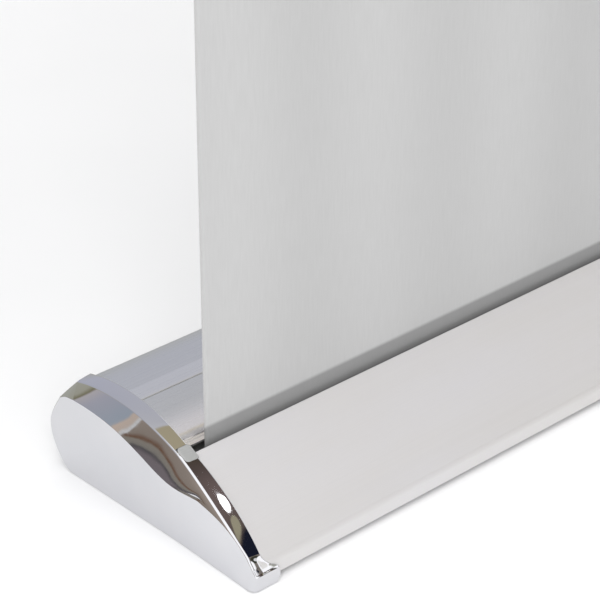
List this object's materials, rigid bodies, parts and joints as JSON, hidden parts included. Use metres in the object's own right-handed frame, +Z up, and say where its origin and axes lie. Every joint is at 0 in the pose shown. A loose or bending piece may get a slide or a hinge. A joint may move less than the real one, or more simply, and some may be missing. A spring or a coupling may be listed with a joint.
{
  "type": "roll-up banner stand",
  "caption": "Free-standing roll-up banner stand: sprung roller in a floor cassette, telescopic pole, hooked snap rail and a retractable fabric banner.",
  "frame": {"origin": "on the floor, at the middle of the footprint", "axes": "+X along the cassette to its right end, -Y to the front (toe) side, +Z up"},
  "size_m": [0.918, 0.2326, 2.1005],
  "materials": {
    "chrome_cap": "bright chrome plating on moulded plastic",
    "pad_satin": "satin silver grey",
    "anodised_rear": "satin blue-grey anodised",
    "pearl_front": "pearl silver satin",
    "strip_satin": "satin anodised",
    "mill_aluminium": "mill finish",
    "pole_anodised": "silver anodised tube",
    "black_plastic": "moulded, fine grain",
    "zinc_steel": "zinc plated",
    "spring_steel": "oiled spring wire",
    "foot_rubber": "matt rubber",
    "banner_fabric": "blank light grey polyester banner cloth"
  },
  "bodies": {
    "base": {"rear_housing": "anodised_rear", "front_panel": "pearl_front", "base_plate": "mill_aluminium", "crown_strip_left": "strip_satin", "crown_strip_right": "strip_satin", "end_cap_left": "chrome_cap", "end_cap_right": "chrome_cap", "slot_pad_left": "pad_satin", "slot_pad_right": "pad_satin", "bearing_plate_left": "black_plastic", "bearing_plate_right": "black_plastic", "cap_screws": "zinc_steel", "rubber_feet": "foot_rubber", "idle_axle": "zinc_steel", "spring_shaft": "zinc_steel", "pole_socket": "black_plastic"},
    "roller": {"roller_tube": "mill_aluminium", "banner_winding": "banner_fabric", "roller_plug_idle": "black_plastic", "roller_plug_spring": "black_plastic", "spring_anchor": "black_plastic", "torsion_spring": "spring_steel"},
    "lower_pole": {"pole_lower": "pole_anodised", "pole_foot": "black_plastic"},
    "lower_lock": {"lower_collar": "black_plastic"},
    "middle_pole": {"pole_middle": "pole_anodised"},
    "upper_lock": {"upper_collar": "black_plastic"},
    "upper_pole": {"pole_upper": "pole_anodised", "pole_head": "black_plastic"},
    "top_rail": {"rail_back": "anodised_rear", "rail_hook": "black_plastic", "rail_cap_left": "black_plastic", "rail_cap_right": "black_plastic", "banner": "banner_fabric"},
    "jaw": {"rail_jaw": "anodised_rear"}
  },
  "joints": [
    {"name": "roller_spin", "type": "hinge", "parent": "base", "child": "roller", "pos_m": [0, -0.0058, 0.036], "axis": [1, 0, 0], "range_deg": [0, 3370]},
    {"name": "pole_lift", "type": "slide", "parent": "base", "child": "lower_pole", "axis": [0, 0, 1], "range_m": [0, 0.025]},
    {"name": "lower_collar_twist", "type": "hinge", "parent": "lower_pole", "child": "lower_lock", "pos_m": [0, 0.039, 0.75], "axis": [0, 0, 1], "range_deg": [0, 90]},
    {"name": "middle_slide", "type": "slide", "parent": "lower_pole", "child": "middle_pole", "axis": [0, 0, 1], "range_m": [-0.56, 0], "deforming": ["banner"]},
    {"name": "upper_collar_twist", "type": "hinge", "parent": "middle_pole", "child": "upper_lock", "pos_m": [0, 0.039, 1.43], "axis": [0, 0, 1], "range_deg": [0, 90]},
    {"name": "upper_slide", "type": "slide", "parent": "middle_pole", "child": "upper_pole", "axis": [0, 0, 1], "range_m": [-0.56, 0]},
    {"name": "rail_lift", "type": "slide", "parent": "upper_pole", "child": "top_rail", "axis": [0, 0, 1], "range_m": [0, 0.012]},
    {"name": "jaw_swing", "type": "hinge", "parent": "top_rail", "child": "jaw", "pos_m": [0, -0.0274, 2.0954], "axis": [-1, 0, 0], "range_deg": [0, 35]}
  ],
  "couplings": [
    {"joint": "upper_slide", "follows": "middle_slide", "ratio": 1},
    {"joint": "roller_spin", "follows": "middle_slide", "rad_per_m": -105}
  ]
}
